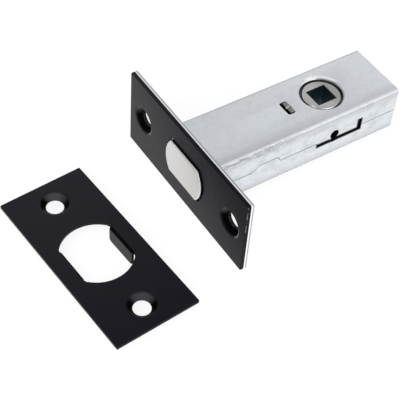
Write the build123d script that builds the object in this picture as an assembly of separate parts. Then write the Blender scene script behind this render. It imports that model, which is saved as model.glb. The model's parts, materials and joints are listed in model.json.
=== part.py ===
from build123d import *
import math
import os

# Tubular bathroom deadbolt with its strike plate, in millimetres.
# The origin is the centre of the forend's front face. +X runs from that face into the door,
# +Y along the forend and +Z along the spindle. The bolt is drawn withdrawn, with the strike
# standing in front of it on its own two tabs.

# Forend: a face plate and an inner plate behind it, with one outline
forend_length = 56.5
forend_width = 24.9
outer_thickness = 1.0
inner_thickness = 0.9
plate_corner = 0.3
forend_screw_edge = 6.9  # plate end to screw centre

# Countersinks pressed into the forend plates and the strike
screw_hole_radius = 2.6
screw_head_radius = 4.1
countersink_wall = 0.7  # metal left across the cone
countersink_land = 0.3  # straight rim under the cone
countersink_break = 0.3  # bevel from the face into the cone
countersink_margin = 1.0  # flat ring round the cone
nest_clearance = 0.1  # inner cone round the outer one
inner_hole_clearance = 0.35

# Bolt: a round bar with two flats
bolt_radius = 8.65
bolt_half_thickness = 5.7
bolt_proud = 0.75  # stands out of the forend when withdrawn
bolt_length = 24.0
bolt_bevel = 0.35
face_clearance = 0.45  # round the bolt in the face plate
guide_clearance = 0.12  # round the bolt in the inner plate

# Case: one sheet folded round into a box section, its edges meeting on the -Y side
sheet = 0.8
fold_radius = 0.45  # outside of the folds
fold_inside = 0.15
bolt_side_gap = 0.15
bolt_flat_gap = 0.65
backset = 44.5  # forend face to spindle centre
case_behind_spindle = 20.1
stake_width = 4.0
stake_offset = 4.2  # each side of the middle
case_seat = 0.2  # depth of the recess that locates the case on the inner plate
case_fit = 0.05  # round the case's end and its tabs

# Seam of the case, with an interlocking jog near the forend
seam_gap = 0.12
seam_height = -0.6
jog_height = 1.05
jog_rise_start = 15.4
jog_rise_end = 17.55
jog_fall_start = 23.75
jog_fall_end = 24.75
jog_bend = 1.5
jog_corner = 0.2
rear_seam_height = -0.45

# Slit in the seam beside the follower, and a punched hole that runs into it
slit_ahead_of_spindle = 7.35
slit_behind_spindle = 7.95
slit_low = -2.1
slit_high = -1.05
slit_leg_width = 1.3
slit_leg_top = 2.0
punch_ahead_of_spindle = 1.45
punch_height = 0.3
punch_radius = 1.45
punch_bite = 0.4  # depth below the slit
punch_bite_radius = 2.0

# Follower: a hub on two discs that turn in the case, with a square cam and a drive arm
spindle = 6.0
spindle_clearance = 0.2
hub_wall = 0.82  # metal at the corners of the square hole
disc_step = 0.4  # disc beyond hub
disc_gap = 0.45
disc_sink = 0.5  # disc below the case's face
disc_chamfer = 0.25
disc_rim_break = 0.45  # bevelled lip of the case round the disc
flange_step = 1.0  # flange beyond disc
cam_inset = 0.2  # cam flat inside disc
end_play = 0.1
arm_tip_radius = 1.2
arm_neck_width = 1.7
arm_wall_gap = 0.53
arm_rest_angle = 45.0  # from +X, and as far again past +Y when thrown

# Tail: a stamped plate riveted into the bolt and driven by the follower's arm
tail_thickness = 2.0
tail_face_gap = 0.3
tongue_depth = 9.0
tongue_half_width = 5.0
tongue_clearance = 0.05
rivet_radius = 1.5
rivet_clearance = 0.03
strap_width = 2.0
hub_gap = 0.35
stop_gap = 0.5
bridge_width = 2.5
tail_corner = 0.8
notch_clearance = 0.45  # each side of the arm's tip

# Stop post: staked through the top and bottom of the case
post_ahead_of_spindle = 11.65
post_thickness = 1.5
post_width = 6.0
post_tab_width = 4.2
post_slot_gap = 0.45
post_slot_end_gap = 0.4
post_slot_corner = 0.6
post_proud = 0.15
post_seat = 0.05  # tab to the rear edge of its slot
post_tail_gap = 0.3
chisel_width = 1.0
chisel_depth = 0.5

# Detent spring: a strip folded round the post that grips the follower's cam
spring_thickness = 0.5
spring_height = 3.6
spring_contact_gap = 0.05
spring_bend = 1.5
spring_past_cam = 1.5
spring_flare_length = 2.0
spring_flare = 0.9

# Strike: a plate with two tabs folded down out of its opening
strike_length = 54.7
strike_width = 24.85
strike_thickness = 1.0
strike_screw_edge = 7.25
strike_end_gap = 1.2  # round ends of the opening beyond the bolt
strike_flat_gap = 1.45  # opening's straight sides beyond the bolt
strike_tab_gap = 1.6  # tab faces beyond the bolt
strike_tab_half_width = 5.25
strike_tab_depth = 5.55
strike_bend = 0.1  # inside of the fold
strike_tab_corner = 1.0
relief_width = 1.5
relief_depth = 0.65
strike_place = (-31.15, -7.8)
strike_yaw = 4.2

# Sizes that follow from those above
inner_half_width = bolt_radius + bolt_side_gap
inner_half_height = bolt_half_thickness + bolt_flat_gap
half_width = inner_half_width + sheet
half_height = inner_half_height + sheet
case_front = outer_thickness + inner_thickness - case_seat
case_end = backset + case_behind_spindle
bolt_rear = bolt_length - bolt_proud
square_side = spindle + spindle_clearance
hub_radius = square_side / math.sqrt(2) + hub_wall
disc_radius = hub_radius + disc_step
flange_radius = disc_radius + flange_step
cam_half_width = disc_radius - cam_inset
waist_half_height = tail_thickness / 2 + tail_face_gap
arm_radius = inner_half_width - arm_wall_gap - arm_tip_radius
bolt_throw = 2 * arm_radius * math.cos(math.radians(arm_rest_angle))
slot_length = post_thickness + 2 * post_slot_gap
slot_x = backset - post_ahead_of_spindle
post_rear = slot_x + slot_length / 2 - post_seat
post_front = post_rear - post_thickness


def double_d(radius, half_thickness):
    """Round section with two flats, the bolt's own shape."""
    return Circle(radius) & Rectangle(2 * radius, 2 * half_thickness)


def on_forend(depth):
    """Plane parallel to the forend, facing out of the door, with local x along +Y."""
    return Plane(origin=(depth, 0, 0), x_dir=(0, 1, 0), z_dir=(-1, 0, 0))


def back_cone(head_radius, depth):
    """Radius of a pressed countersink's back at a depth below the plate's face."""
    return head_radius + countersink_wall * math.sqrt(2) - depth


def pressed_plate(length, width, thickness, screw_edge, hole_radius, head_radius):
    """Plate with its face on local z = 0 and its length along x, with two pressed countersinks."""
    cone_depth = head_radius - hole_radius
    rim_depth = max(cone_depth, thickness) + countersink_land
    ring_radius = max(head_radius, back_cone(head_radius, thickness)) + countersink_margin
    section = make_face(
        Polyline(
            (ring_radius, 0),
            (head_radius, 0),
            (hole_radius, -cone_depth),
            (hole_radius, -rim_depth),
            (back_cone(head_radius, rim_depth), -rim_depth),
            (back_cone(head_radius, thickness), -thickness),
            (ring_radius, -thickness),
            close=True,
        )
    )
    shoulder = section.vertices().sort_by_distance((head_radius, 0, 0))[0]
    section = chamfer(shoulder, countersink_break)
    dimple = revolve(Plane.XZ * section, Axis.Z)
    places = [Pos(side * (length / 2 - screw_edge), 0, 0) for side in (-1, 1)]
    blank = RectangleRounded(length, width, plate_corner)
    blank -= [place * Circle(ring_radius) for place in places]
    return extrude(blank, -thickness) + [place * dimple for place in places]


def case_outline(clearance):
    """Outside of the case's section, with room round it."""
    return RectangleRounded(
        2 * (half_width + clearance), 2 * (half_height + clearance), fold_radius + clearance
    )


def stake_section(clearance):
    """The case's four front tabs, as they pass through the inner plate."""
    grid = GridLocations(2 * stake_offset, inner_half_height + half_height, 2, 2)
    tab = Rectangle(stake_width + 2 * clearance, sheet + 2 * clearance)
    return Sketch() + [place * tab for place in grid]


def make_outer_forend():
    """Face plate, with the bolt's opening."""
    plate = pressed_plate(
        forend_length, forend_width, outer_thickness, forend_screw_edge, screw_hole_radius, screw_head_radius
    )
    opening = double_d(bolt_radius + face_clearance, bolt_half_thickness + face_clearance)
    return on_forend(0) * (plate - extrude(opening, -outer_thickness))


def make_inner_forend():
    """Inner plate, whose countersinks nest round those of the face plate."""
    head_radius = back_cone(screw_head_radius, outer_thickness) + nest_clearance
    hole_radius = screw_hole_radius + inner_hole_clearance
    plate = pressed_plate(
        forend_length, forend_width, inner_thickness, forend_screw_edge, hole_radius, head_radius
    )
    opening = double_d(bolt_radius + guide_clearance, bolt_half_thickness + guide_clearance)
    cuts = extrude(opening + stake_section(case_fit), -inner_thickness)
    seat = case_outline(case_fit)
    recess = extrude(Pos(0, 0, case_seat - inner_thickness) * seat, -case_seat)
    return on_forend(outer_thickness) * (plate - cuts - recess)


def side_openings():
    """Seam, slit and punched hole of the case's -Y side, in the X-Z plane."""
    slit_start = backset - slit_ahead_of_spindle
    slit_end = backset + slit_behind_spindle
    punch_x = backset - punch_ahead_of_spindle
    front_seam = FilletPolyline(
        (case_front - sheet, seam_height),
        (jog_rise_start, seam_height),
        (jog_rise_end, jog_height),
        (jog_fall_start, jog_height),
        (jog_fall_end, seam_height),
        (slit_start + seam_gap / 2, seam_height),
        radius=(jog_bend, jog_bend, jog_corner, jog_corner),
    )
    rear_seam = Line((slit_end - sheet, rear_seam_height), (case_end + sheet, rear_seam_height))
    slit = Pos((slit_start + slit_end) / 2, (slit_low + slit_high) / 2) * Rectangle(
        slit_end - slit_start, slit_high - slit_low
    )
    leg = Pos(slit_end - slit_leg_width / 2, (slit_low + slit_leg_top) / 2) * Rectangle(
        slit_leg_width, slit_leg_top - slit_low
    )
    punch = Pos(punch_x, punch_height) * Circle(punch_radius)
    bite = Pos(punch_x, slit_low - punch_bite + punch_bite_radius) * Circle(punch_bite_radius)
    below_slit = Pos(punch_x, slit_low - punch_bite_radius) * Rectangle(
        2 * punch_bite_radius, 2 * punch_bite_radius
    )
    front_gap = trace(front_seam, seam_gap) + Pos(slit_start, (seam_height + slit_high) / 2) * Rectangle(
        seam_gap, seam_height - slit_high
    )
    return front_gap + trace(rear_seam, seam_gap) + slit + leg + punch + (bite & below_slit)


def make_case():
    """Folded case, with its tabs, follower holes, post slots and seam."""
    inside = RectangleRounded(2 * inner_half_width, 2 * inner_half_height, fold_inside)
    section = case_outline(0) - inside
    case = extrude(Plane.YZ.offset(case_front) * section, case_end - case_front)
    case -= Pos(backset, 0, 0) * Cylinder(disc_radius + disc_gap, 3 * half_height)
    rims = case.edges().filter_by(GeomType.CIRCLE).group_by(Axis.Z)
    case = chamfer(rims[0] + rims[-1], disc_rim_break)
    slot = RectangleRounded(slot_length, post_tab_width + 2 * post_slot_end_gap, post_slot_corner)
    case -= extrude(Pos(slot_x, 0) * slot, 2 * half_height, both=True)
    case -= extrude(Plane.XZ.offset(inner_half_width / 2) * side_openings(), half_width)
    return case + extrude(Plane.YZ.offset(outer_thickness) * stake_section(0), case_front - outer_thickness)


def rivet_places():
    """Centres of the two rivets that hold the tail in the bolt."""
    return [
        Pos(bolt_rear - tongue_depth / 2, side * tongue_half_width / 2, 0) for side in (-1, 1)
    ]


def make_bolt_head():
    """Bolt with a bevelled face and a rear slot for the tail's tongue."""
    bar = extrude(Plane.YZ.offset(-bolt_proud) * double_d(bolt_radius, bolt_half_thickness), bolt_length)
    bar = chamfer(bar.faces().sort_by(Axis.X)[0].edges(), bolt_bevel)
    bar -= Pos(bolt_rear, 0, 0) * Box(
        2 * (tongue_depth + tongue_clearance),
        2 * (tongue_half_width + tongue_clearance),
        tail_thickness + 2 * tongue_clearance,
    )
    hole = Cylinder(rivet_radius + rivet_clearance, 3 * bolt_half_thickness)
    return bar - [place * hole for place in rivet_places()]


def make_bolt_rivets():
    """Two plain rivets, dressed flush with the bolt's flats."""
    return Compound([place * Cylinder(rivet_radius, 2 * bolt_half_thickness) for place in rivet_places()])


def make_bolt_tail():
    """Tail with a keyhole window for the post and the hub, and a notch for the follower's arm."""
    window_half = hub_radius + hub_gap
    tail_half = window_half + strap_width
    window_front = backset - hub_radius - stop_gap
    window_rear = backset + hub_radius + bolt_throw + stop_gap
    tail_rear = window_rear + bridge_width
    slot_front = post_front - stop_gap
    notch_x = backset + bolt_throw / 2

    tongue = Pos(bolt_rear - tongue_depth / 2, 0) * Rectangle(tongue_depth, 2 * tongue_half_width)
    body = Pos((bolt_rear + tail_rear) / 2, 0) * RectangleRounded(
        tail_rear - bolt_rear, 2 * tail_half, tail_corner
    )
    hub_window = Pos((window_front + window_rear) / 2, 0) * RectangleRounded(
        window_rear - window_front, 2 * window_half, tail_corner
    )
    post_slot = Pos((slot_front + window_front + tail_corner) / 2, 0) * Rectangle(
        window_front + tail_corner - slot_front, post_width + 2 * post_tail_gap
    )
    arm_notch = Pos(notch_x, tail_half) * Rectangle(
        2 * (arm_tip_radius + notch_clearance), 2 * (strap_width + tail_corner)
    )
    rivet_holes = [place * Circle(rivet_radius + rivet_clearance) for place in rivet_places()]
    plate = tongue + body - hub_window - post_slot - arm_notch - rivet_holes
    return extrude(plate, tail_thickness / 2, both=True)


def make_follower():
    """Hub with turning discs, a round flange above, a square cam below and the drive arm between."""
    flange_height = inner_half_height - end_play - waist_half_height
    flange_middle = waist_half_height + flange_height / 2
    discs = Cylinder(disc_radius, 2 * (half_height - disc_sink))
    discs = chamfer(discs.edges().filter_by(GeomType.CIRCLE), disc_chamfer)
    discs -= Cylinder(flange_radius, 2 * inner_half_height)
    flange = Pos(0, 0, flange_middle) * Cylinder(flange_radius, flange_height)
    cam_section = Rectangle(2 * cam_half_width, 2 * cam_half_width) & Circle(flange_radius)
    cam = extrude(Pos(0, 0, -flange_middle - flange_height / 2) * cam_section, flange_height)
    waist = Cylinder(hub_radius, 2 * inner_half_height)
    arm_section = Pos(arm_radius / 2, 0) * Rectangle(arm_radius, arm_neck_width)
    arm_section += Pos(arm_radius, 0) * Circle(arm_tip_radius)
    arm = extrude(Rot(0, 0, arm_rest_angle) * arm_section, tail_thickness / 2, both=True)
    hub = discs + flange + cam + waist + arm
    hub -= Box(square_side, square_side, 3 * half_height)
    return Pos(backset, 0, 0) * hub


def make_stop_post():
    """Flat post with a tab at each end, each tab spread by one chisel cut."""
    tab_end = half_height + post_proud
    outline = Rectangle(post_width, 2 * inner_half_height) + Rectangle(post_tab_width, 2 * tab_end)
    cut = make_face(
        Polyline(
            (-chisel_width / 2, tab_end), (0, tab_end - chisel_depth), (chisel_width / 2, tab_end), close=True
        )
    )
    outline = outline - cut - mirror(cut, Plane.XZ)
    return extrude(Plane.YZ.offset(post_front) * outline, post_thickness)


def make_detent_spring():
    """Folded strip lying on the case's floor, its web in front of the post and its arms on the cam."""
    web_x = post_front - spring_contact_gap - spring_thickness / 2
    arm_y = cam_half_width + spring_contact_gap + spring_thickness / 2
    arm_end = backset + cam_half_width + spring_past_cam
    flare_end = arm_end + spring_flare_length
    route = FilletPolyline(
        (flare_end, -arm_y - spring_flare),
        (arm_end, -arm_y),
        (web_x, -arm_y),
        (web_x, arm_y),
        (arm_end, arm_y),
        (flare_end, arm_y + spring_flare),
        radius=spring_bend,
    )
    strip = trace(route, spring_thickness)
    return extrude(Pos(0, 0, -inner_half_height) * strip, spring_height)


def strike_tab():
    """Tab on the strike's +y side, folded down from the plate's face at local z = 0."""
    face_y = bolt_half_thickness + strike_tab_gap
    fold_outside = strike_bend + strike_thickness
    fold_centre = Pos(face_y + fold_outside, -fold_outside)
    quarter = Pos(-fold_outside / 2, fold_outside / 2) * Rectangle(fold_outside, fold_outside)
    fold = fold_centre * ((Circle(fold_outside) - Circle(strike_bend)) & quarter)
    leg_height = strike_tab_depth - fold_outside
    leg = Pos(face_y + strike_thickness / 2, -fold_outside - leg_height / 2) * Rectangle(
        strike_thickness, leg_height
    )
    tab = extrude(Plane.YZ * (fold + leg), strike_tab_half_width, both=True)
    corners = tab.faces().sort_by(Axis.Z)[0].edges().filter_by(Axis.Y)
    return fillet(corners, strike_tab_corner)


def make_strike_plate():
    """Strike, standing on its tabs level with the forend's lower edge."""
    end_radius = bolt_radius + strike_end_gap
    flat_y = bolt_half_thickness + strike_flat_gap
    fold_y = bolt_half_thickness + strike_tab_gap + strike_bend + strike_thickness
    plate = pressed_plate(
        strike_length, strike_width, strike_thickness, strike_screw_edge, screw_hole_radius, screw_head_radius
    )
    opening = double_d(end_radius, flat_y)
    opening += Rectangle(2 * (strike_tab_half_width + relief_width), 2 * (flat_y + relief_depth))
    opening += Rectangle(2 * strike_tab_half_width, 2 * fold_y)
    plate -= extrude(opening, -strike_thickness)
    tab = strike_tab()
    plate += [tab, mirror(tab, Plane.XZ)]
    face_height = strike_tab_depth - forend_width / 2
    return Pos(*strike_place, face_height) * Rot(0, 0, strike_yaw + 90) * plate


pieces = {
    "outer_forend": make_outer_forend(),
    "inner_forend": make_inner_forend(),
    "case": make_case(),
    "bolt_head": make_bolt_head(),
    "bolt_tail": make_bolt_tail(),
    "bolt_rivets": make_bolt_rivets(),
    "follower": make_follower(),
    "stop_post": make_stop_post(),
    "detent_spring": make_detent_spring(),
    "strike_plate": make_strike_plate(),
}

os.makedirs("parts", exist_ok=True)
for name, piece in pieces.items():
    export_step(piece, f"parts/{name}.step")
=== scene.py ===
import json
import math

import bpy
import numpy
from mathutils import Matrix, Vector
from mathutils.geometry import delaunay_2d_cdt


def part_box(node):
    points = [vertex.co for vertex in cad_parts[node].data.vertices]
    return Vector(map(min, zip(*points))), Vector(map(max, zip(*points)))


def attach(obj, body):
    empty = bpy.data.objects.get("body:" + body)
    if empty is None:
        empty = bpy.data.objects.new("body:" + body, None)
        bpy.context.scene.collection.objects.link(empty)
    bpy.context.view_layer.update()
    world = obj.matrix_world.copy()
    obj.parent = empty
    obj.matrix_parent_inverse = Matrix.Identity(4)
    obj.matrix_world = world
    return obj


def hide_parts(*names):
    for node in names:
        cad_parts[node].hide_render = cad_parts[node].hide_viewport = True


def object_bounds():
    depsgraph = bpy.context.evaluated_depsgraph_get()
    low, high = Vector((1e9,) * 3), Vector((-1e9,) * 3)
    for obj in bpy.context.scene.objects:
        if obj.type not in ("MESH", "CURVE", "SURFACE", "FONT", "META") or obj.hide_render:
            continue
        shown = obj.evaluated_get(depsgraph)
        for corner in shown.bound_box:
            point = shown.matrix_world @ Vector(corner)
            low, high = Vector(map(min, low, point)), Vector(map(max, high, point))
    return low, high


# A tubular bathroom deadbolt and its strike plate. The part's lengths are in millimetres, others in metres.
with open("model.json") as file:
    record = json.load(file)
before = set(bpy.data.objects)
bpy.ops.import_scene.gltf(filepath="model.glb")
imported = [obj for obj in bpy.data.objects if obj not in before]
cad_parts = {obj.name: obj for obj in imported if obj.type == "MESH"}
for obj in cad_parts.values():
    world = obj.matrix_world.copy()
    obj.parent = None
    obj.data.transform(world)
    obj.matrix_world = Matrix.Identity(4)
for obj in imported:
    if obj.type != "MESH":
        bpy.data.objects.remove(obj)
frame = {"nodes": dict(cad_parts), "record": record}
cad_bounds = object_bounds()
nodes = frame["nodes"]
MM = 0.001

# Camera: where it stands round the part, its tilt, and its lens in pixels of the frame
camera_azimuth = -36.48
camera_elevation = 48.373
camera_roll = 4.86
camera_distance = 304.165 * MM
camera_across = 4.121 * MM
camera_up = -8.086 * MM
frame_pixels = 400
focal_pixels = 1142.64
sensor_width = 36.0
camera_near = 0.01

# Floor, surroundings and lamps
floor_size = 3.0
floor_albedo = 0.85
floor_roughness = 0.9
floor_white_share = 0.85
floor_mirror_share = 0.6
world_level = 0.55
horizon_level = 0.4
horizon_fade = (0.05, 0.3)
sky_level = 0.72
sky_fade = (0.45, 0.75)
flag_direction = Vector((-0.72, 0.56, 0.4)).normalized()
flag_level = 0.3
flag_fade = (0.75, 0.92)
key_place = (-0.5, -0.5, 0.7)
key_size = 0.9
key_power = 16.0
fill_place = (0.4, -0.75, 0.57)
fill_size = 0.8
fill_power = 2.2

# Rounding of the sharp edges of the solids that are kept
edge_rounding = {
    "inner_forend": 0.1,
    "case": 0.05,
    "bolt_head": 0.16,
    "bolt_tail": 0.1,
    "bolt_rivets": 0.1,
    "follower": 0.12,
    "stop_post": 0.12,
    "detent_spring": 0.08,
}
rounding_angle = math.radians(18)
rounding_segments = 3
flat_angle = math.radians(1.5)
weld_distance = 0.001 * MM

# Coating: its tint and clouds, the run over which its painted sheen fades, its chips and painted rim
# highlights, and the painted light on lit walls and painted shade in hollows
coat_ior = 1.27
coat_tint = (0.93, 0.93, 1.0, 1.0)
coat_cloud_size = 5.0
coat_clouds = (0.85, 1.15)
coat_roughness = (0.39, 0.43)
peel_depth = 0.004
painted_sheen_run = (-44.0, 32.0)
painted_sheen_lean = 1.4
chip_and_highlight_level = 0.2
wall_light_level = 0.045
hollow_level = 0.001
hollow_sheen = 0.05

# Plated metal: how far its tint and sheen vary, its grain, and the painted shade inside the case
tint_spread = 0.015
mottle_share = 0.55
sheen_spread = 0.04
grain_depth = 0.002
dull_roughness = 0.75
unlit_level = 0.05

# Pressed plates: their rolled edges and the countersinks in them
sheared_roll = 0.2
sheared_burr = 0.06
plate_thickness = 1.0
forend_corner = 0.45
strike_corner = 0.25
screw_hole_radius = 2.4
screw_head_radius = 4.1
countersink_wall = 0.7
forend_land = 0.7
strike_land = 0.3
countersink_roll = 0.5
rim_round = 0.12
countersink_reach = (4.8, 5.0)
countersink_rim = ((3.95, 4.1), (4.3, 4.45))
countersink_floor = (0.03, 0.5)
ring_points = 72
sharp_angle = math.radians(40)

# Face plate and bolt opening
forend_half = (28.25, 12.45)
forend_screw = 21.35
bolt_opening = (9.1, 6.15)
inner_cone = 5.19
bolt_face = -0.75
bolt_bevel = 0.35
bolt_shading = (-8.0, 8.0)
torn_depth = (1.35, 1.5)

# Chips and painted light on the face plate: chips along its near end that also stand for glints on its
# rolled edge, painted highlights on its countersinks' rims, and painted light on their walls
chip_reach = (0.08, 0.16)
chip_depth = (0.12, 0.25)
chip_heights = (1.0, 4.0)
rim_highlight_side = (2.6, 3.6)
rim_highlight_share = 0.8
lit_wall_heights = (-0.6, 2.2)
lit_wall_side = (-1.8, 0.2)
lit_wall_depth = ((0.05, 0.3), (0.7, 1.6))
lit_rim_reach = (0.05, 0.3)
lit_rim_shares = (0.1, 0.5)

# Follower: its place, the edge of the lip round it, the edge of its disc, and the way to its far side
backset = 44.5
follower_lip = 6.5
disc_edge = 5.2
far_way = (0.57, 0.82)

# Painted light on the lip: how deep it is kept out of the painted shade, on its right and on its far side
# too, the lit far wall below it, and its painted glare and the painted highlight on its shoulder
lip_depth = 0.45
right_lip_depth = 0.25
far_lip_depth = 0.3
far_wall_share = 0.22
lip_glare_start = (3.8, 5.0)
shoulder_start = (4.8, 5.9)
shoulder_reach = (0.4, 1.1)

# Painted shade round the disc: its dark rim's inset, on its right and on its near side, and the two painted
# near glints
right_inset = 0.38
near_insets = (0.32, 0.06)
rim_width = 0.12
glint_side = (-4.7, -4.2)
front_glint_end = (-4.5, -4.2)
rear_glint_start = (-3.4, -3.0)
disc_depth = (0.7, 0.3)

# Case: its corners, those of the slit in its side and of the slit's leg, and the seam's steps
case_low, case_high = (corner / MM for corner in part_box("case"))
slit_corners = ((37.15, -2.1), (52.45, -1.05))
leg_corners = ((51.15, -2.1), (52.45, 2.0))
rear_margin = 0.3
fold_margin = 0.15
seam_height = -0.6
seam_steps = (((15.4, 17.55), 1.65), ((23.75, 24.75), -1.65), ((44.0, 45.0), 0.15))

# Marks and painted light on the case: a painted highlight on its fold and painted shade beside it and on
# the far fold, painted shade round the slit and beside the forend, and its seam, smears, darker lower part
# and specks
fold_band = (0.5, 0.8)
fold_share = 0.85
fold_shade = ((0.6, 0.85), (1.0, 4.5), 0.4)
fold_line = ((0.55, 0.75), (0.9, 1.4), 0.75)
far_fold_band = (0.3, 0.8)
slit_shade_reach = (0.1, 0.45)
seam_line = (0.06, 0.26)
seam_share = 0.8
smear_run = (20.0, 36.0)
smear_heights = (4.0, 5.4)
cloud_share = 0.35
lower_dark_heights = (-6.6, -3.6)
lower_dark_share = 0.4
forend_shade_run = (2.2, 3.6)
speck_heights = (0.1, 1.3)
speck_share = 0.6

# Strike and its folded tabs
strike_half = (27.35, 12.425)
strike_screw = 20.1
strike_end_radius = 9.85
strike_relief = (6.75, 7.8)
strike_relief_cut = (1.1, 0.5)
strike_tab_half = 5.25
strike_tab_depth = 5.55
strike_tab_corner = 1.0
strike_tab_share = 0.65
strike_fold_line = 8.4
strike_fold_radius = 1.1
strike_slit = 0.08
strike_slit_end = 8.55
strike_yaw = math.radians(94.2)
strike_low, strike_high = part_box("strike_plate")
strike_centre = Vector((*((strike_low + strike_high) / 2).xy, strike_high.z))

# Painted shade in the strike's folds and countersinks, and painted light on their lit walls
bend_shade = ((0.02, 0.2), (0.8, 1.1))
tab_end_depth = (0.3, 0.6)
tab_shade_share = 0.85
screw_shade_depth = (0.1, 0.6)
screw_shade_share = 0.9
unlit_side = (0.3, 0.7)
lit_side = (0.3, 0.95)
lit_wall_share = 0.45


class Shader:
    """A material's node tree, with short calls that add nodes and link them. Sizes are in millimetres."""

    def __init__(self, name, **values):
        self.material = bpy.data.materials.new(name)
        self.material.use_nodes = True
        self.tree = self.material.node_tree
        self.surface = self.tree.nodes["Principled BSDF"]
        for socket, value in values.items():
            self.surface.inputs[socket.replace("_", " ")].default_value = value
        self.place = self.add("ShaderNodeTexCoord").outputs["Object"]

    def add(self, kind, inputs=(), **settings):
        node = self.tree.nodes.new(kind)
        for name, value in settings.items():
            setattr(node, name, value)
        for socket, value in dict(inputs).items():
            if isinstance(value, bpy.types.NodeSocket):
                self.tree.links.new(value, node.inputs[socket])
            else:
                node.inputs[socket].default_value = value
        return node

    def set(self, socket, value):
        self.tree.links.new(value, self.surface.inputs[socket])

    def math(self, operation, a, b):
        return self.add("ShaderNodeMath", {0: a, 1: b}, operation=operation).outputs[0]

    def product(self, first, *others):
        """All the values multiplied."""
        for other in others:
            first = self.math("MULTIPLY", first, other)
        return first

    def greatest(self, a, b):
        return self.math("MAXIMUM", a, b)

    def size(self, value):
        return self.math("ABSOLUTE", value, 0.0)

    def axis(self, letter):
        """One coordinate of the point, in millimetres."""
        parts = self.add("ShaderNodeSeparateXYZ", {0: self.place})
        return self.math("DIVIDE", parts.outputs[letter], MM)

    def noise(self, size, stretch=(1, 1, 1), detail=3.0, roughness=0.55):
        """Cloudy pattern whose features have about that size, longer where stretch is more than 1."""
        scale = [1 / (size * MM * s) for s in stretch]
        place = self.add("ShaderNodeVectorMath", {0: self.place, 1: scale}, operation="MULTIPLY")
        cloud = self.add(
            "ShaderNodeTexNoise",
            {"Vector": place.outputs[0], "Scale": 1.0, "Detail": detail, "Roughness": roughness},
        )
        return cloud.outputs["Fac"]

    def spread(self, value, low, high, to_low=0.0, to_high=1.0):
        """The value's stretch from low to high, mapped smoothly to another."""
        inputs = {"Value": value, "From Min": low, "From Max": high, "To Min": to_low, "To Max": to_high}
        return self.add("ShaderNodeMapRange", inputs, interpolation_type="SMOOTHSTEP").outputs[0]

    def fade(self, value, low, high, level=1.0):
        """Falls smoothly from level to 0 as the value goes from low to high."""
        return self.spread(value, low, high, level, 0.0)

    def band(self, value, rise, fall, level=1.0):
        """Up to level between a rise and a fall, each given by where it starts and ends."""
        return self.product(self.spread(value, *rise), self.fade(value, *fall, level))

    def ramp(self, value, low, high, rise):
        """Rises evenly from 0 where the value is low, and stays level before and after."""
        inputs = {"Value": value, "From Min": low, "From Max": high, "To Min": 0.0, "To Max": rise}
        return self.add("ShaderNodeMapRange", inputs).outputs[0]

    def mix(self, share, a, b):
        """Colour a, or b where share is 1."""
        node = self.add("ShaderNodeMix", data_type="RGBA")
        for socket, value in (("Factor_Float", share), ("A_Color", a), ("B_Color", b)):
            target = next(s for s in node.inputs if s.identifier == socket)
            if isinstance(value, bpy.types.NodeSocket):
                self.tree.links.new(value, target)
            else:
                target.default_value = value
        return next(s for s in node.outputs if s.identifier == "Result_Color")

    def bump(self, height, depth):
        """Raises the surface by depth where height is 1."""
        inputs = {"Height": height, "Distance": depth * MM, "Strength": 1.0}
        return self.add("ShaderNodeBump", inputs).outputs["Normal"]

    def round_axis(self, first, second):
        """Distance from an axis, given the two offsets from it."""
        squares = [self.product(offset, offset) for offset in (first, second)]
        return self.math("SQRT", self.math("ADD", *squares), 0.0)


def grey(level, warmth=0.0):
    """A grey of that linear level, a little warmer or cooler."""
    return (level * (1 + warmth), level, level * (1 - warmth), 1.0)


def black_coating(name, colour, sheen, chipped_and_lit=None, unlit=None, lit_walls=None):
    """Satin black coating: a fine orange peel, and a painted sheen that fades along the plate.

    Masks may lay metal over it at chips and painted rim highlights, paint shade in its hollows, and paint
    light on its lit walls.
    """
    coat = Shader(name, IOR=coat_ior, Specular_Tint=coat_tint)
    cloud = coat.noise(coat_cloud_size)
    deep, pale = ([share * c for c in colour] + [1.0] for share in coat_clouds)
    shade = coat.mix(cloud, deep, pale)
    if chipped_and_lit:
        bare_and_lit = chipped_and_lit(coat)
        shade = coat.mix(bare_and_lit, shade, grey(chip_and_highlight_level))
        coat.set("Metallic", bare_and_lit)
    # Painted sheen: the specular level falls off towards the plate's near, upper end, standing in for a
    # fading reflection.
    run = coat.math("SUBTRACT", coat.axis("Y"), coat.product(coat.axis("Z"), painted_sheen_lean))
    level = coat.spread(run, *painted_sheen_run, *sheen)
    if unlit:
        hollow = unlit(coat)
        shade = coat.mix(hollow, shade, grey(hollow_level))
        level = coat.product(level, coat.spread(hollow, 0.0, 1.0, 1.0, hollow_sheen))
    if lit_walls:
        shade = coat.mix(lit_walls(coat), shade, grey(wall_light_level))
    coat.set("Base Color", shade)
    coat.set("Specular IOR Level", level)
    coat.set("Roughness", coat.spread(coat.noise(1.5), 0.3, 0.7, *coat_roughness))
    coat.set("Normal", coat.bump(coat.noise(0.35, detail=2.0), peel_depth))
    return coat.material


def round_screw(coat):
    """Distance from the nearer of the face plate's screw axes, and the part of it along -Y."""
    along = coat.axis("Y")
    outward = coat.math("SUBTRACT", coat.size(along), forend_screw)
    near = coat.product(outward, coat.math("SIGN", along, 0.0), -1.0)
    return coat.round_axis(outward, coat.axis("Z")), near


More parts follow.
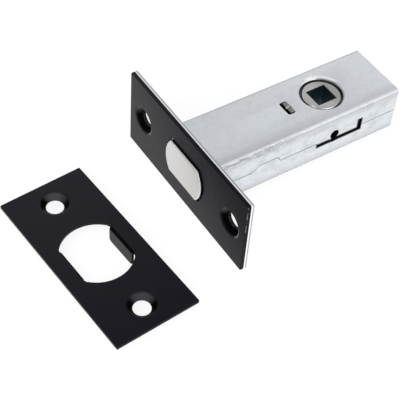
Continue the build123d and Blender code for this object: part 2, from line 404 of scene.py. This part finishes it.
def chips_and_rim_highlights(coat):
    """1 in fine chips along the face plate's near end, which also stand for glints on its rolled edge, and
    in a painted highlight on one side of its countersinks' rims.
    """
    end = coat.fade(coat.axis("Y"), *(reach - forend_half[0] for reach in chip_reach))
    roll = coat.fade(coat.axis("X"), *chip_depth)
    upper = coat.spread(coat.axis("Z"), *chip_heights)
    chips_and_glints = coat.product(end, roll, upper, coat.spread(coat.noise(0.9), 0.47, 0.6))
    turn, near = round_screw(coat)
    rim = coat.band(turn, *countersink_rim)
    return coat.greatest(chips_and_glints, coat.product(rim, coat.spread(near, *rim_highlight_side, 0.0, rim_highlight_share)))


def in_countersinks(coat):
    """1 below the rolled rims of the face plate's countersinks, where shade is painted."""
    turn, _ = round_screw(coat)
    sunk = coat.spread(coat.axis("X"), *countersink_floor)
    return coat.product(coat.fade(turn, *countersink_reach), sunk)


def lit_countersinks(coat):
    """Up to 1 on the upper far side of the face plate's countersinks, and less in its holes' rims, where
    light is painted.
    """
    turn, near = round_screw(coat)
    upper = coat.spread(coat.axis("Z"), *lit_wall_heights)
    far = coat.fade(near, *lit_wall_side)
    sunk = coat.band(coat.axis("X"), *lit_wall_depth)
    cone = coat.product(upper, far, sunk, coat.fade(turn, *countersink_reach))
    rim = coat.fade(turn, *(screw_hole_radius + reach for reach in lit_rim_reach))
    patches = coat.spread(coat.noise(0.4), 0.4, 0.6, *lit_rim_shares)
    return coat.greatest(cone, coat.product(rim, patches))


def strike_places(coat):
    """Offsets from the strike's middle along it and across it, and the depth below its face."""
    across, along = (
        coat.math("SUBTRACT", coat.axis(letter), middle / MM) for letter, middle in zip("XY", strike_centre)
    )
    cosine, sine = math.cos(strike_yaw), math.sin(strike_yaw)
    u, v = (
        coat.math("ADD", coat.product(across, share_x), coat.product(along, share_y))
        for share_x, share_y in ((cosine, sine), (-sine, cosine))
    )
    return u, v, coat.math("SUBTRACT", strike_centre.z / MM, coat.axis("Z"))


def in_tab_folds(coat):
    """More than 0 in the folds of the strike's tabs and on their ends, where shade is painted."""
    u, v, depth = strike_places(coat)
    aside = coat.size(u)
    bend = coat.band(depth, *bend_shade)
    tip = coat.spread(aside, strike_tab_half - 0.1, strike_tab_half - 0.03)
    end = coat.product(tip, coat.spread(depth, *tab_end_depth))
    tab = coat.product(coat.greatest(bend, end), tab_shade_share)
    for place, limit in ((aside, strike_tab_half + 0.03), (coat.size(v), strike_fold_line)):
        tab = coat.product(tab, coat.fade(place, limit, limit + 0.04))
    return tab


def in_strike_screws(coat):
    """More than 0 in the strike's countersinks, and how far towards their far side, from -1 to 1."""
    u, v, depth = strike_places(coat)
    outward = coat.math("SUBTRACT", coat.size(u), strike_screw)
    turn = coat.round_axis(outward, v)
    far_u = far_way[0] * math.cos(strike_yaw) + far_way[1] * math.sin(strike_yaw)
    far_v = far_way[1] * math.cos(strike_yaw) - far_way[0] * math.sin(strike_yaw)
    away = coat.product(outward, coat.math("SIGN", u, 0.0), far_u)
    away = coat.math("DIVIDE", coat.math("ADD", away, coat.product(v, far_v)), turn)
    within = coat.fade(turn, *countersink_reach, screw_shade_share)
    return coat.product(coat.spread(depth, *screw_shade_depth), within), away


def in_strike_hollows(coat):
    """More than 0 in the strike's folds, and on the unlit walls of its countersinks, where shade is
    painted.
    """
    sunk, away = in_strike_screws(coat)
    unlit = coat.product(sunk, coat.fade(away, *unlit_side))
    return coat.greatest(in_tab_folds(coat), unlit)


def lit_strike_walls(coat):
    """More than 0 on the lit walls of the strike's countersinks, where light is painted."""
    sunk, away = in_strike_screws(coat)
    return coat.product(sunk, coat.spread(away, *lit_side, 0.0, lit_wall_share))


def zinc_plate(name, level, rough, warmth=-0.02, shades=(), mottle=0.12, dulled=None):
    """Zinc plate on steel: soft mottling, fine grain and a broken sheen.

    Each shade is a mask and the colour that it lays over the plate, some of them marks and most of them
    painted light and shade, and dulled is a mask of dull places.
    """
    plate = Shader(name, Metallic=1.0)
    cool, warm = (grey(level, warmth + side * tint_spread) for side in (-1, 1))
    tint = plate.mix(plate.noise(4.0), cool, warm)
    clouds = plate.spread(plate.noise(1.6, detail=5.0), 0.35, 0.65, 0.0, mottle)
    colour = plate.mix(clouds, tint, grey(level * mottle_share))
    for place, shade in shades:
        colour = plate.mix(place(plate), colour, shade)
    sheen = plate.spread(plate.noise(0.8), 0.3, 0.7, rough - sheen_spread, rough + sheen_spread)
    if dulled:
        sheen = plate.greatest(sheen, plate.product(dulled(plate), dull_roughness))
    plate.set("Base Color", colour)
    plate.set("Roughness", sheen)
    plate.set("Normal", plate.bump(plate.noise(0.25, detail=2.0), grain_depth))
    return plate.material


def to_far_side(plate):
    """How far a point lies from the follower's axis towards its far side, and from the axis at all."""
    offsets = plate.math("SUBTRACT", plate.axis("X"), backset), plate.axis("Y")
    along = [plate.product(offset, share) for offset, share in zip(offsets, far_way)]
    return plate.math("ADD", *along), plate.round_axis(*offsets)


def below_skin(plate):
    """Depth below the case's outer faces, a little less in its folds."""
    walls = []
    folds = []
    for letter, half in (("Y", case_high.y), ("Z", case_high.z)):
        walls.append(plate.math("SUBTRACT", half, plate.size(plate.axis(letter))))
        folds.append(plate.fade(walls[-1], 0.5, 0.9))
    end = plate.math("SUBTRACT", case_high.x - rear_margin, plate.axis("X"))
    depth = plate.math("MINIMUM", plate.math("MINIMUM", *walls), end)
    return plate.math("SUBTRACT", depth, plate.product(*folds, fold_margin))


def within_case(plate):
    """Painted shade: 1 inside the case and its holes, less on the far wall of the follower's hole, which is
    lit, and 0 on its lip.
    """
    far, turn = to_far_side(plate)
    ring = plate.fade(turn, follower_lip, follower_lip + 0.2)
    right = plate.spread(plate.axis("X"), backset + 1.0, backset + 3.0, lip_depth, right_lip_depth)
    lit = plate.math("MINIMUM", right, plate.spread(far, -1.5, 0.5, lip_depth, far_lip_depth))
    lip = plate.product(ring, lit, plate.spread(far, -4.0, -2.5))
    inside = plate.spread(plate.math("SUBTRACT", below_skin(plate), lip), 0.03, 0.1)
    far_wall = plate.product(ring, plate.spread(far, 1.0, 4.5, 0.0, far_wall_share))
    return plate.product(inside, plate.math("SUBTRACT", 1.0, far_wall))


def lip_glare(plate):
    """1 on the far side of the lip round the follower, where its glare is painted."""
    far, turn = to_far_side(plate)
    ring = plate.fade(turn, follower_lip, follower_lip + 0.1)
    lit = plate.spread(far, *lip_glare_start)
    return plate.product(ring, lit, plate.spread(below_skin(plate), 0.0, 0.1))


def shoulder_highlight(plate):
    """Softly up to 1 on the shoulder outside the lip's far side, where a highlight is painted."""
    far, turn = to_far_side(plate)
    shoulder = plate.fade(turn, *(follower_lip + reach for reach in shoulder_reach))
    return plate.product(shoulder, plate.spread(far, *shoulder_start))


def dull_places(plate):
    """Up to 1 on the fold above the seam and on the right of the lip round the follower."""
    _, turn = to_far_side(plate)
    right = plate.spread(plate.axis("X"), backset + 1.5, backset + 3.5)
    lip = plate.product(plate.fade(turn, follower_lip, follower_lip + 0.1), right)
    return plate.greatest(lip, on_fold(plate))


def on_side(plate):
    """1 on the case's seamed side."""
    return plate.fade(plate.axis("Y"), case_low.y + 0.05, case_low.y + 0.15)


def slit_shade(plate):
    """1 round the slit and its leg, where shade is painted."""
    distances = []
    for low, high in (slit_corners, leg_corners):
        beyond = []
        for letter, start, end in zip("XZ", low, high):
            offset = plate.math("SUBTRACT", plate.axis(letter), (start + end) / 2)
            beyond.append(plate.math("SUBTRACT", plate.size(offset), (end - start) / 2))
        distances.append(plate.greatest(*beyond))
    rim = plate.fade(plate.math("MINIMUM", *distances), *slit_shade_reach)
    return plate.product(on_side(plate), rim)


def from_fold(plate):
    """Distance over the case's skin from its upper fold on the seamed side."""
    side = plate.math("SUBTRACT", plate.axis("Y"), case_low.y)
    return plate.greatest(side, plate.math("SUBTRACT", case_high.z, plate.axis("Z")))


def on_fold(plate):
    """More than 0 on the bright band of that fold, where a highlight is painted."""
    return plate.fade(from_fold(plate), *fold_band, fold_share)


def beside_fold(plate):
    """Softly more than 0 beside that fold, on the case's top and in a line under the fold, where shade is
    painted.
    """
    distance = from_fold(plate)
    soft = plate.band(distance, *fold_shade)
    line = plate.band(distance, *fold_line)
    return plate.greatest(soft, plate.product(on_side(plate), line))


def on_far_fold(plate):
    """1 on the upper fold of the other side, where shade is painted."""
    side = plate.math("SUBTRACT", case_high.y, plate.axis("Y"))
    return plate.fade(side, *far_fold_band)


def along_seam(plate):
    """More than 0 along the seam, before and behind the slit."""
    height = seam_height
    for (start, end), rise in seam_steps:
        height = plate.math("ADD", plate.ramp(plate.axis("X"), start, end, rise), height)
    distance = plate.size(plate.math("SUBTRACT", plate.axis("Z"), height))
    broken = plate.spread(plate.noise(2.0), 0.3, 0.6, 0.5, 1.0)
    line = plate.product(plate.fade(distance, *seam_line, seam_share), broken)
    (slit_start, _), (slit_end, _) = slit_corners
    ahead = plate.ramp(plate.axis("X"), slit_start + 0.1, slit_start, 1.0)
    behind = plate.ramp(plate.axis("X"), slit_end - 0.1, slit_end, 1.0)
    return plate.product(on_side(plate), line, plate.greatest(ahead, behind))


def stains_and_shade(plate):
    """Smears and clouds on the case's seamed side, its lower part darker towards the bottom, and a painted
    shadow beside the forend.
    """
    height = plate.axis("Z")
    front = plate.fade(plate.axis("X"), *smear_run)
    streaks = plate.spread(plate.noise(0.8, (4, 1, 1), detail=4.0), 0.42, 0.56)
    smear = plate.product(plate.spread(height, *smear_heights), front, streaks)
    cloud = plate.spread(plate.noise(2.5, (1.6, 1, 1), detail=4.0), 0.42, 0.68, 0.0, cloud_share)
    lower = plate.fade(height, *lower_dark_heights, lower_dark_share)
    side = plate.product(on_side(plate), plate.greatest(plate.greatest(cloud, smear), lower))
    seat = plate.fade(plate.axis("X"), *forend_shade_run)
    beside = plate.product(seat, plate.spread(plate.noise(0.9), 0.35, 0.55))
    return plate.greatest(side, beside)


def specks(plate):
    """Up to 1 in specks along the lower edge of the case's seamed side, and less in a few all over."""
    near_edge = plate.fade(plate.axis("Z"), *(case_low.z + height for height in speck_heights))
    ragged = plate.product(near_edge, plate.spread(plate.noise(0.6), 0.5, 0.62), on_side(plate))
    scattered = plate.spread(plate.noise(0.7, detail=2.0), 0.7, 0.76, 0.0, speck_share)
    return plate.greatest(ragged, scattered)


def below_disc(plate):
    """1 inside the follower, below its two round faces, where shade is painted."""
    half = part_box("follower")[1].z / MM
    return plate.fade(plate.size(plate.axis("Z")), *(half - depth for depth in disc_depth))


def disc_rim(plate):
    """Painted shade: 1 on the edge of the follower's discs, narrower on their right, and not on their near
    side.
    """
    far, turn = to_far_side(plate)
    right = plate.spread(plate.axis("X"), backset - 3.5, backset + 1.0, 0.0, right_inset)
    inset = plate.greatest(right, plate.spread(far, -4.0, 1.0, *near_insets))
    edge = plate.spread(plate.math("SUBTRACT", turn, inset), disc_edge, disc_edge + rim_width)
    return plate.product(edge, plate.spread(far, -4.6, -3.6))


def disc_glints(plate):
    """1 in two painted glints along that near side's edge."""
    far, turn = to_far_side(plate)
    along = plate.math("SUBTRACT", plate.axis("X"), backset)
    near = plate.fade(far, *glint_side)
    ahead = plate.fade(along, *front_glint_end)
    ahead = plate.product(ahead, plate.spread(turn, disc_edge - 0.3, disc_edge - 0.1))
    behind = plate.spread(along, *rear_glint_start)
    behind = plate.product(behind, plate.spread(turn, disc_edge + 0.15, disc_edge + 0.25))
    return plate.product(near, plate.greatest(ahead, behind))


def turned_away(plate):
    """Up to 1 across the follower's discs, where their turned faces catch less light."""
    return plate.spread(plate.axis("X"), backset - 2.0, backset + 5.0)


def lower_end(plate):
    """Up to 1 towards the bolt's near end."""
    return plate.fade(plate.axis("Y"), *bolt_shading)


def end_bevel(plate):
    """1 on the bevel round the bolt's end, where a highlight is painted."""
    end = bolt_face + bolt_bevel
    return plate.band(plate.axis("X"), (bolt_face + 0.01, bolt_face + 0.05), (end - 0.03, end + 0.02))


def proud_flats(plate):
    """1 round the bolt's end, behind its bevel, where it stands out of the forend and a dark reflection is
    painted.
    """
    end = bolt_face + bolt_bevel
    return plate.band(plate.axis("X"), (end - 0.05, end), (-0.1, 0.2))


def behind_screws(plate):
    """1 inside the inner plate's countersinks, where shade is painted."""
    outward = plate.math("SUBTRACT", plate.size(plate.axis("Y")), forend_screw)
    cone = plate.math("ADD", plate.round_axis(outward, plate.axis("Z")), plate.axis("X"))
    return plate.fade(cone, inner_cone + 0.5, inner_cone + 0.8)


def torn_edge(plate):
    """1 on the rear half of the inner plate's sheared edges."""
    rear = plate.spread(plate.axis("X"), *torn_depth)
    edges = []
    for letter, half in zip("YZ", forend_half):
        edges.append(plate.spread(plate.size(plate.axis(letter)), half - 0.15, half - 0.05))
    return plate.product(rear, plate.greatest(*edges))


# On the case, the stains, specks and seam are its own marks, with a painted shadow beside the forend among
# the stains; the rest is painted highlight and painted shade.
case_shades = (
    (beside_fold, grey(0.45, -0.03)),
    (on_fold, grey(0.86, -0.03)),
    (on_far_fold, grey(0.5, -0.02)),
    (stains_and_shade, grey(0.42, -0.03)),
    (specks, grey(0.25)),
    (along_seam, grey(0.32)),
    (shoulder_highlight, grey(1.0)),
    (lip_glare, grey(0.62, -0.02)),
    (slit_shade, grey(0.08)),
    (within_case, grey(unlit_level)),
)
# On the follower: painted shade across the discs, in their rims and inside, and painted glints.
disc_shades = (
    (turned_away, grey(0.36)),
    (disc_glints, grey(0.98)),
    (disc_rim, grey(0.05)),
    (below_disc, (0.18, 0.235, 0.255, 1.0)),
)
# On the bolt: darker towards its near end, a painted highlight on its bevel and a painted dark reflection
# behind it.
bolt_shades = (
    (lower_end, grey(0.56, 0.03)),
    (end_bevel, grey(0.95)),
    (proud_flats, grey(0.08)),
)
# On the inner plate: painted shade in its countersinks, and the duller torn half of its edges.
inner_shades = (
    (behind_screws, grey(0.05)),
    (torn_edge, grey(0.4)),
)
finishes = {
    "satin_black": black_coating(
        "satin_black",
        (0.0058, 0.0056, 0.0075),
        sheen=(0.06, 0.43),
        chipped_and_lit=chips_and_rim_highlights,
        unlit=in_countersinks,
        lit_walls=lit_countersinks,
    ),
    "strike_black": black_coating(
        "strike_black",
        (0.0042, 0.0038, 0.006),
        sheen=(0.18, 0.55),
        unlit=in_strike_hollows,
        lit_walls=lit_strike_walls,
    ),
    "bright_zinc": zinc_plate("bright_zinc", 0.98, 0.25, shades=inner_shades),
    "dull_zinc": zinc_plate("dull_zinc", 0.77, 0.38, -0.04, case_shades, dulled=dull_places),
    "satin_nickel": zinc_plate(
        "satin_nickel", 0.632, 0.22, 0.003, bolt_shades, mottle=0.02, dulled=end_bevel
    ),
    "follower_zinc": zinc_plate("follower_zinc", 0.54, 0.35, 0.0, disc_shades),
    "plain_steel": zinc_plate("plain_steel", 0.25, 0.3),
    "spring_steel": zinc_plate("spring_steel", 0.1, 0.35),
}


class Sheet:
    """Sheet metal drawn in the flat, with rolled edges, and folded as its points are put in place.

    A path is a closed list of (u, v) points in millimetres with the metal on its left. Its section is a
    list of (inset, depth) points from the face to the back, with inset counted into the metal.
    """

    def __init__(self, place):
        self.place = place
        self.paths = []
        self.sections = []

    def add(self, path, section):
        self.paths.append([Vector(point) for point in path])
        self.sections.append(section)

    @staticmethod
    def inward(path):
        """Steps into the metal at each point, longer at corners so that both sides keep their distance."""
        steps = []
        for before, here, after in zip(path[-1:] + path[:-1], path, path[1:] + path[:1]):
            first = (here - before).normalized()
            second = (after - here).normalized()
            turn = 1 + first.dot(second)
            steps.append(Vector((-first.y - second.y, first.x + second.x)) / turn)
        return steps

    @staticmethod
    def fill(rings, creases):
        """Triangles of the metal between rings of points, with edges along the creases."""
        points = [point for ring in rings for point in ring]
        edges = list(creases)
        start = 0
        for ring in rings:
            count = len(ring)
            edges += [(start + i, start + (i + 1) % count) for i in range(count)]
            start += count
        _, _, triangles, origins, _, _ = delaunay_2d_cdt(points, edges, [], 0, 1e-5)
        sources = [origin[0] for origin in origins]
        triangles = [[sources[i] for i in triangle] for triangle in triangles]
        flat = numpy.array(points)
        middles = flat[numpy.array(triangles)].mean(axis=1)
        crossings = numpy.zeros(len(middles), int)
        for ring in rings:
            ends = numpy.array(ring)
            for (u0, v0), (u1, v1) in zip(ends, numpy.roll(ends, -1, axis=0)):
                between = (v0 > middles[:, 1]) != (v1 > middles[:, 1])
                if v0 != v1:
                    reach = u0 + (middles[:, 1] - v0) * (u1 - u0) / (v1 - v0)
                    crossings += between & (middles[:, 0] < reach)
        return [triangle for triangle, count in zip(triangles, crossings) if count % 2]

    def build(self, name, creases=()):
        """The mesh object, its face first and its back last in each section."""
        corners = []
        faces = []
        rings = {"face": [], "back": []}
        index = {"face": [], "back": []}
        for path, section in zip(self.paths, self.sections):
            steps = self.inward(path)
            first = len(corners)
            rows = len(section)
            for point, step in zip(path, steps):
                for inset, depth in section:
                    flat = point + inset * step
                    corners.append(self.place(flat.x, flat.y, depth))
            count = len(path)
            for i in range(count):
                here = first + i * rows
                there = first + (i + 1) % count * rows
                for k in range(rows - 1):
                    faces.append((here + k, here + k + 1, there + k + 1, there + k))
            for side, row in (("face", 0), ("back", rows - 1)):
                inset = section[row][0]
                rings[side].append([point + inset * step for point, step in zip(path, steps)])
                index[side] += [first + i * rows + row for i in range(count)]
        for side in ("face", "back"):
            for triangle in self.fill(rings[side], creases):
                turned = triangle if side == "face" else triangle[::-1]
                faces.append([index[side][i] for i in turned])
        mesh = bpy.data.meshes.new(name)
        mesh.from_pydata(corners, [], faces)
        mesh.shade_smooth()
        mesh.set_sharp_from_angle(angle=sharp_angle)
        piece = bpy.data.objects.new(name, mesh)
        bpy.context.scene.collection.objects.link(piece)
        weighted = piece.modifiers.new("flat faces first", "WEIGHTED_NORMAL")
        weighted.keep_sharp = True
        weighted.weight = 100
        return piece


def arc(centre, radius, start, end, steps):
    """Points along an arc, angles in degrees."""
    angles = [math.radians(start + (end - start) * i / steps) for i in range(steps + 1)]
    return [(centre[0] + radius * math.cos(a), centre[1] + radius * math.sin(a)) for a in angles]


def rounded_rectangle(half_u, half_v, radius):
    """Outline of a plate, anticlockwise."""
    path = []
    for turn, (u, v) in enumerate(((1, 1), (-1, 1), (-1, -1), (1, -1))):
        centre = (u * (half_u - radius), v * (half_v - radius))
        path += arc(centre, radius, 90 * turn, 90 * turn + 90, 5)
    return path


def double_d(radius, half_v):
    """Circle cut by two flats, anticlockwise."""
    edge = math.degrees(math.asin(half_v / radius))
    return arc((0, 0), radius, -edge, edge, 24) + arc((0, 0), radius, 180 - edge, 180 + edge, 24)


def sheared_edge(thickness):
    """Section of a sheared edge: rolled at the face, sharp at the back."""
    turns = [math.radians(18 * i) for i in range(6)]
    face = [(sheared_roll * (1 - math.sin(a)), sheared_roll * (1 - math.cos(a))) for a in turns]
    burr = [(sheared_burr * (1 - math.cos(a)), sheared_burr * (1 - math.sin(a))) for a in turns[::5]]
    return face + [(inset, thickness - height) for inset, height in burr]


def add_countersink(sheet, centre, thickness, land):
    """Pressed countersink: rolled in from the face, coned to a short straight rim, and coned behind."""
    half_turn = math.radians(22.5)
    roll_radius = countersink_roll / math.tan(half_turn)
    ring = screw_head_radius + countersink_roll
    cone_depth = screw_head_radius - screw_hole_radius
    rim_depth = cone_depth + land
    behind = screw_head_radius + countersink_wall * math.sqrt(2)
    turns = [math.radians(45 * i / 8) for i in range(9)]
    outline = [(ring - roll_radius * math.sin(a), roll_radius * (1 - math.cos(a))) for a in turns]
    outline += [
        (screw_hole_radius + rim_round, cone_depth - rim_round),
        (screw_hole_radius, cone_depth + rim_round),
        (screw_hole_radius, rim_depth - rim_round),
        (screw_hole_radius + rim_round, rim_depth),
        (behind - rim_depth, rim_depth),
        (behind - thickness, thickness),
    ]
    path = arc(centre, ring, 360, 360 / ring_points, ring_points - 1)
    sheet.add(path, [(radius - ring, depth) for radius, depth in outline])


def make_face_plate():
    """Face plate of the forend."""
    sheet = Sheet(lambda u, v, depth: Vector((depth, u, -v)) * MM)
    edge = sheared_edge(plate_thickness)
    sheet.add(rounded_rectangle(*forend_half, forend_corner), edge)
    sheet.add(double_d(*bolt_opening)[::-1], edge)
    for side in (-1, 1):
        add_countersink(sheet, (side * forend_screw, 0), plate_thickness, forend_land)
    return sheet.build("face_plate")


def strike_point(u, v, depth):
    """Place of a point of the strike's flat drawing, with the tabs folded down out of the opening."""
    along = strike_fold_line - abs(v)
    side = math.copysign(1, v)
    height = -depth
    if along > 0 and abs(u) < strike_tab_half + strike_slit / 2:
        bend = min(along / strike_fold_radius, math.pi / 2)
        beyond = along - bend * strike_fold_radius
        reach = strike_fold_radius - depth * strike_tab_share
        v = side * (strike_fold_line - reach * math.sin(bend))
        height = reach * math.cos(bend) - strike_fold_radius - beyond
    x = u * math.cos(strike_yaw) - v * math.sin(strike_yaw)
    y = u * math.sin(strike_yaw) + v * math.cos(strike_yaw)
    return strike_centre + Vector((x, y, height)) * MM


def strike_opening():
    """Opening of the strike in the flat, anticlockwise, with its two tabs still reaching into it."""
    bend_length = strike_fold_radius * math.pi / 2
    tab_end = strike_fold_line - bend_length - (strike_tab_depth - strike_fold_radius)
    relief_u, relief_v = strike_relief
    slit_u = strike_tab_half + strike_slit
    right = arc((0, 0), strike_end_radius, 0, math.degrees(math.acos(relief_u / strike_end_radius)), 20)
    right += [(relief_u, relief_v - strike_relief_cut[1]), (relief_u - strike_relief_cut[0], relief_v)]
    right += [(slit_u, relief_v), (slit_u, strike_slit_end), (strike_tab_half, strike_slit_end)]
    right += [(strike_tab_half, strike_fold_line - bend_length * i / 8) for i in range(9)]
    corner = (strike_tab_half - strike_tab_corner, tab_end + strike_tab_corner)
    right += arc(corner, strike_tab_corner, 0, -90, 6)
    upper = right[1:] + [(-u, v) for u, v in right[::-1]]
    return upper + [(-u, -v) for u, v in upper]


def make_strike():
    """Strike plate with its rolled countersinks and folded tabs."""
    sheet = Sheet(strike_point)
    edge = sheared_edge(plate_thickness)
    opening = strike_opening()[::-1]
    sheet.add(opening, edge)
    sheet.add(rounded_rectangle(*strike_half, strike_corner), edge)
    for side in (-1, 1):
        add_countersink(sheet, (side * strike_screw, 0), plate_thickness, strike_land)
    places = {(round(u, 6), round(v, 6)): i for i, (u, v) in enumerate(opening)}
    folds = [key for key in places if key[0] == strike_tab_half and abs(key[1]) <= strike_fold_line]
    creases = [(places[u, v], places[-u, v]) for u, v in folds]
    return sheet.build("strike", creases)


def round_edges(part, width):
    """Joins the solid's faces and rounds its sharp edges."""
    weld = part.modifiers.new("weld", "WELD")
    weld.merge_threshold = weld_distance
    flat = part.modifiers.new("flat faces", "DECIMATE")
    flat.decimate_type = "DISSOLVE"
    flat.angle_limit = flat_angle
    bevel = part.modifiers.new("rounded edges", "BEVEL")
    bevel.width = width * MM
    bevel.segments = rounding_segments
    bevel.limit_method = "ANGLE"
    bevel.angle_limit = rounding_angle
    bevel.use_clamp_overlap = False
    bevel.loop_slide = False
    bevel.harden_normals = True


def dress_nodes(replaced):
    """Gives each solid, or the piece drawn in its place, its finish, and the solids their rounded edges."""
    for row in frame["record"]["subparts"]:
        node, slot = row["node"], row["material_slot"]
        part = replaced.get(node, nodes[node])
        part.data.materials.clear()
        part.data.materials.append(finishes[slot])
        if node in replaced:
            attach(part, "housing")
            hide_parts(node)
        else:
            part.data.shade_smooth()
            round_edges(part, edge_rounding[node])


def make_floor():
    """White floor that keeps the part's shadow."""
    bpy.ops.mesh.primitive_plane_add(size=floor_size, location=(0, 0, cad_bounds[0][2]))
    floor = bpy.context.object
    floor.name = "floor"
    material = bpy.data.materials.new("white_floor")
    material.use_nodes = True
    tree = material.node_tree
    surface = tree.nodes["Principled BSDF"]
    surface.inputs["Base Color"].default_value = grey(floor_albedo)
    surface.inputs["Roughness"].default_value = floor_roughness
    seen = seen_share(tree, floor_white_share, floor_mirror_share)
    glow = tree.nodes.new("ShaderNodeEmission")
    blend = tree.nodes.new("ShaderNodeMixShader")
    tree.links.new(seen, blend.inputs["Fac"])
    tree.links.new(surface.outputs["BSDF"], blend.inputs[1])
    tree.links.new(glow.outputs["Emission"], blend.inputs[2])
    tree.links.new(blend.outputs["Shader"], tree.nodes["Material Output"].inputs["Surface"])
    floor.data.materials.append(material)


def seen_share(tree, straight, mirrored):
    """The share of a background's own white, where it is looked at and where it is mirrored."""
    path = tree.nodes.new("ShaderNodeLightPath")
    total = 0.0
    for ray, share in (("Camera", straight), ("Glossy", mirrored), ("Transmission", mirrored)):
        part = join(tree, "MULTIPLY", path.outputs[f"Is {ray} Ray"], share)
        total = join(tree, "MAXIMUM", part, total)
    return total


def join(tree, operation, a, b):
    """A math node on two values."""
    node = tree.nodes.new("ShaderNodeMath")
    node.operation = operation
    for socket, value in zip(node.inputs, (a, b)):
        if isinstance(value, bpy.types.NodeSocket):
            tree.links.new(value, socket)
        else:
            socket.default_value = value
    return node.outputs[0]


def make_world():
    """White surroundings, dimmer as light, and mirrored with a dim horizon, a soft sky and a dark flag."""
    world = bpy.data.worlds.new("studio")
    world.use_nodes = True
    bpy.context.scene.world = world
    tree = world.node_tree
    light = tree.nodes["Background"]
    light.inputs["Color"].default_value = grey(1.0)
    light.inputs["Strength"].default_value = world_level
    direction = tree.nodes.new("ShaderNodeTexCoord").outputs["Generated"]
    parts = tree.nodes.new("ShaderNodeSeparateXYZ")
    tree.links.new(direction, parts.inputs[0])
    flag = tree.nodes.new("ShaderNodeVectorMath")
    flag.operation = "DOT_PRODUCT"
    flag.inputs[1].default_value = flag_direction
    tree.links.new(direction, flag.inputs[0])
    strength = 1.0
    for place, fade, low, high in (
        (parts.outputs["Z"], horizon_fade, horizon_level, 1.0),
        (parts.outputs["Z"], sky_fade, 1.0, sky_level),
        (flag.outputs["Value"], flag_fade, 1.0, flag_level),
    ):
        step = tree.nodes.new("ShaderNodeMapRange")
        step.interpolation_type = "SMOOTHSTEP"
        for name, value in zip(("From Min", "From Max", "To Min", "To Max"), (*fade, low, high)):
            step.inputs[name].default_value = value
        tree.links.new(place, step.inputs["Value"])
        strength = join(tree, "MULTIPLY", step.outputs[0], strength)
    straight = tree.nodes.new("ShaderNodeLightPath").outputs["Is Camera Ray"]
    white = tree.nodes.new("ShaderNodeBackground")
    white.inputs["Color"].default_value = grey(1.0)
    tree.links.new(join(tree, "MAXIMUM", strength, straight), white.inputs["Strength"])
    blend = tree.nodes.new("ShaderNodeMixShader")
    tree.links.new(seen_share(tree, 1.0, 1.0), blend.inputs["Fac"])
    tree.links.new(light.outputs["Background"], blend.inputs[1])
    tree.links.new(white.outputs["Background"], blend.inputs[2])
    tree.links.new(blend.outputs["Shader"], tree.nodes["World Output"].inputs["Surface"])


def make_lamp(name, place, size, power, mirrored=True):
    """Soft square lamp that faces the part, and may keep out of its reflections."""
    lamp = bpy.data.lights.new(name, "AREA")
    lamp.shape = "SQUARE"
    lamp.size = size
    lamp.energy = power
    body = bpy.data.objects.new(name, lamp)
    body.location = place
    body.visible_glossy = mirrored
    body.rotation_euler = (-Vector(place)).to_track_quat("-Z", "Y").to_euler()
    bpy.context.scene.collection.objects.link(body)


def make_camera():
    """Pinhole camera at the photograph's place."""
    azimuth = math.radians(camera_azimuth)
    elevation = math.radians(camera_elevation)
    roll = math.radians(camera_roll)
    level = Vector((math.cos(azimuth), math.sin(azimuth), 0))
    back = Vector(
        (
            math.sin(azimuth) * math.cos(elevation),
            -math.cos(azimuth) * math.cos(elevation),
            math.sin(elevation),
        )
    )
    upright = back.cross(level)
    right = math.cos(roll) * level + math.sin(roll) * upright
    up = math.cos(roll) * upright - math.sin(roll) * level
    place = camera_across * right + camera_up * up + camera_distance * back
    lens = bpy.data.cameras.new("camera")
    lens.sensor_fit = "HORIZONTAL"
    lens.sensor_width = sensor_width
    lens.lens = focal_pixels / frame_pixels * sensor_width
    lens.clip_start = camera_near
    camera = bpy.data.objects.new("camera", lens)
    turn = Matrix((right, up, back)).transposed().to_4x4()
    camera.matrix_world = Matrix.Translation(place) @ turn
    bpy.context.scene.collection.objects.link(camera)
    bpy.context.scene.camera = camera


dress_nodes({"outer_forend": make_face_plate(), "strike_plate": make_strike()})
make_floor()
make_world()
make_lamp("key_lamp", key_place, key_size, key_power, mirrored=False)
make_lamp("fill_lamp", fill_place, fill_size, fill_power)
make_camera()

scene = bpy.context.scene
scene.view_settings.view_transform = "Standard"
